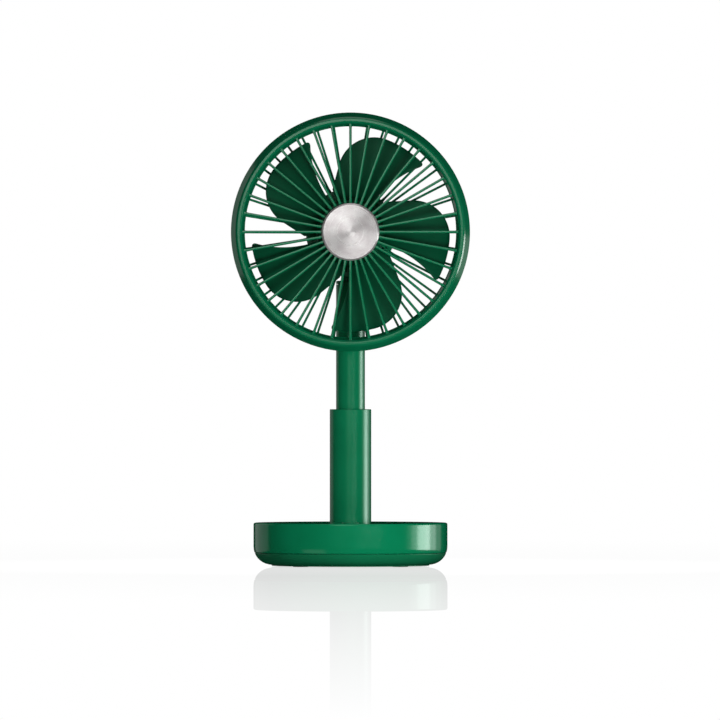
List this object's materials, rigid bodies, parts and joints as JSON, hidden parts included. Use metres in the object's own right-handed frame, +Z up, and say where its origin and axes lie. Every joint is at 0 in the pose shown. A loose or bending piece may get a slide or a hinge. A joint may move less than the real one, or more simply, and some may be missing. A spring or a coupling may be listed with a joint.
{
  "type": "desk fan",
  "caption": "Cordless desk fan: round base, telescopic column, tilting round grille head and a wide-blade impeller.",
  "frame": {"origin": "middle of the face that the fan stands on, under the centre of the round base", "axes": "+Z up, -Y the way the air blows, +X to the right seen from the front"},
  "size_m": [0.198, 0.161, 0.376],
  "materials": {
    "green_gloss_plastic": "gloss moulded plastic",
    "green_satin_plastic": "satin moulded plastic",
    "green_tube": "satin lacquer on aluminium tube",
    "green_blade": "fine satin moulding",
    "spun_metal": "spun brushed",
    "steel": "zinc plated",
    "copper_windings": "enamelled copper wire",
    "dark_plastic": "acetal",
    "rubber": "matte",
    "circuit_board": "solder mask",
    "cell_wrap": "shrink sleeve",
    "lens": "diffusing"
  },
  "bodies": {
    "base": {"base_shell": "green_gloss_plastic", "base_tray": "green_satin_plastic", "outer_tube": "green_tube", "base_screw_1": "steel", "base_screw_2": "steel", "base_screw_3": "steel", "base_screw_4": "steel", "counterweight": "steel", "battery_clamp_left": "steel", "battery_clamp_right": "steel", "board_screw_left": "steel", "board_screw_right": "steel", "charge_socket": "steel", "socket_screw_left": "steel", "socket_screw_right": "steel", "button_switch": "dark_plastic", "column_socket": "dark_plastic", "guide_bush": "dark_plastic", "foot_1": "rubber", "foot_2": "rubber", "foot_3": "rubber", "foot_4": "rubber", "lead_coil": "rubber", "control_board": "circuit_board", "charge_board": "circuit_board", "battery_cell_left": "cell_wrap", "battery_cell_right": "cell_wrap", "indicator_lens": "lens"},
    "mast": {"inner_tube": "green_tube", "slide_shoe": "dark_plastic", "neck_block": "green_satin_plastic", "hinge_pin": "steel", "hinge_nut": "steel", "friction_washer_left": "dark_plastic", "friction_washer_right": "dark_plastic"},
    "head": {"front_grille": "green_gloss_plastic", "rear_grille": "green_satin_plastic", "hub_cap": "spun_metal", "pod_cover": "green_satin_plastic", "tilt_bracket": "steel", "motor_can": "steel", "motor_cap": "steel", "stator": "copper_windings", "front_bearing": "steel", "rear_bearing": "steel", "motor_screw_upper": "steel", "motor_screw_lower": "steel", "pod_screw_1": "steel", "pod_screw_2": "steel", "pod_screw_3": "steel"},
    "rotor": {"impeller": "green_blade", "motor_shaft": "steel", "rotor_core": "steel", "blade_nut": "steel"},
    "button": {"power_button": "green_satin_plastic"}
  },
  "joints": [
    {"name": "column_slide", "type": "slide", "parent": "base", "child": "mast", "axis": [0, 0, 1], "range_m": [-0.06, 0.024], "deforming": ["lead_coil"]},
    {"name": "head_tilt", "type": "hinge", "parent": "mast", "child": "head", "pos_m": [0, 0.032, 0.264], "axis": [-1, 0, 0], "range_deg": [-10, 90]},
    {"name": "fan_spin", "type": "hinge", "parent": "head", "child": "rotor", "pos_m": [0, 0, 0.277], "axis": [0, -1, 0], "continuous": true},
    {"name": "button_press", "type": "slide", "parent": "base", "child": "button", "axis": [0, 0, -1], "range_m": [0, 0.0008], "stiffness_N_per_m": 1500, "springref_m": -0.0005}
  ]
}
